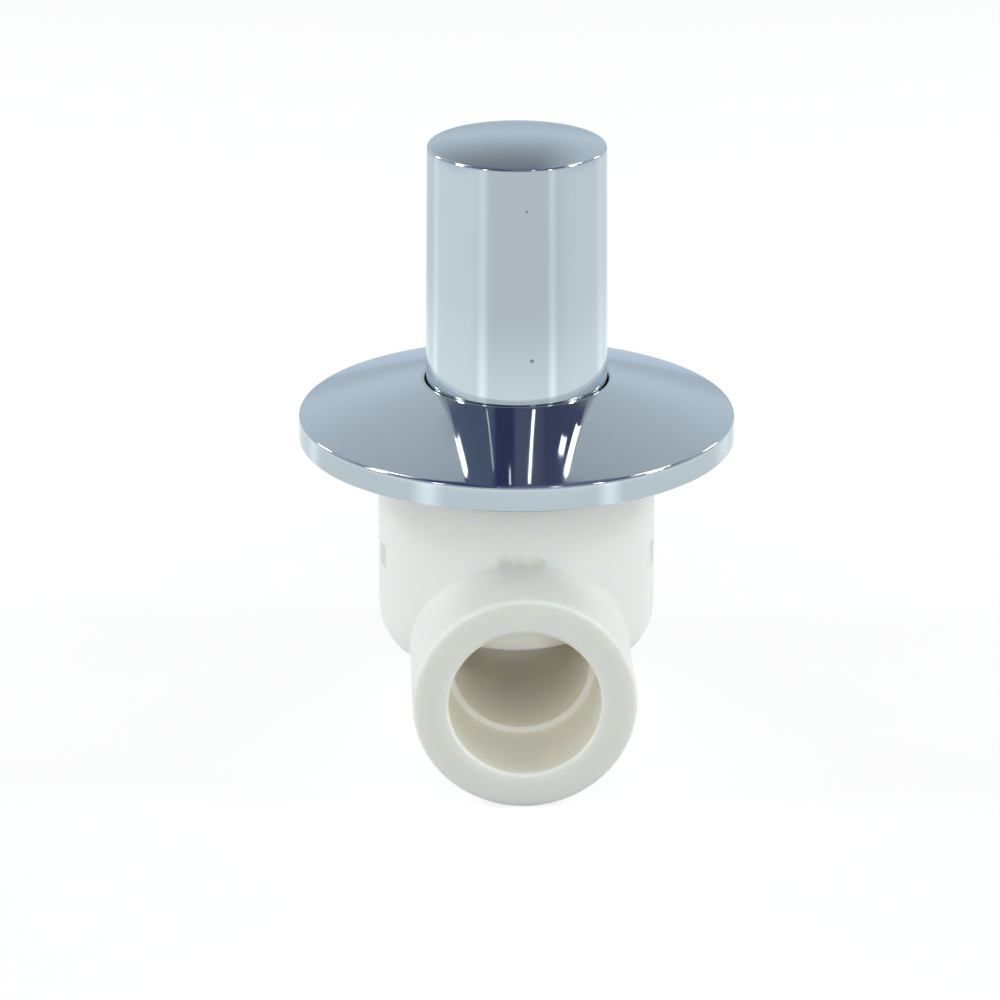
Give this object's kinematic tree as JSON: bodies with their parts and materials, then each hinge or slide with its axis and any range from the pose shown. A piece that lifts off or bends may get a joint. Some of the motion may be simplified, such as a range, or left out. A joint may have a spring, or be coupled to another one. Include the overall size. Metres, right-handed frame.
{
  "type": "concealed stop valve",
  "caption": "Concealed stop valve with two pipe welding sockets in line, a chrome wall rosette and a chrome cylinder handle that turns to lift a washered plate off its seat.",
  "frame": {"origin": "where the axis of the two pipe sockets meets the spindle axis, inside the body", "axes": "+Z along the spindle towards the handle, +Y along the pipe towards the outlet socket, -Y towards the inlet socket"},
  "size_m": [0.071, 0.0736, 0.1004],
  "materials": {
    "white_ppr": "satin moulded",
    "chrome_plate": "polished",
    "brass": "turned",
    "black_rubber": "matte",
    "white_ptfe": "waxy",
    "grey_plastic": "moulded",
    "zinc_plated_steel": "zinc plated"
  },
  "bodies": {
    "valve_body": {"ppr_body": "white_ppr", "brass_insert": "brass", "seat_ring": "brass", "bonnet": "brass", "bonnet_seal": "black_rubber", "gland_ring": "brass", "gland_packing": "white_ptfe", "gland_nut": "brass", "rosette_holder": "grey_plastic", "cover_sleeve": "brass", "rosette": "chrome_plate"},
    "plate": {"valve_plate": "brass", "seat_washer": "black_rubber", "washer_nut": "brass"},
    "handle": {"handle": "chrome_plate", "handle_hub": "grey_plastic", "grub_screw": "zinc_plated_steel", "spindle": "brass", "plate_clip": "zinc_plated_steel", "spindle_extension": "brass", "extension_screw": "zinc_plated_steel"}
  },
  "joints": [
    {"name": "plate_lift", "type": "slide", "parent": "valve_body", "child": "plate", "axis": [0, 0, 1], "range_m": [0, 0.005]},
    {"name": "handle_turn", "type": "hinge", "parent": "plate", "child": "handle", "pos_m": [0, 0, 0.06], "axis": [0, 0, 1], "range_deg": [0, 900]}
  ],
  "couplings": [
    {"joint": "plate_lift", "follows": "handle_turn", "m_per_rad": 0.00031831}
  ]
}
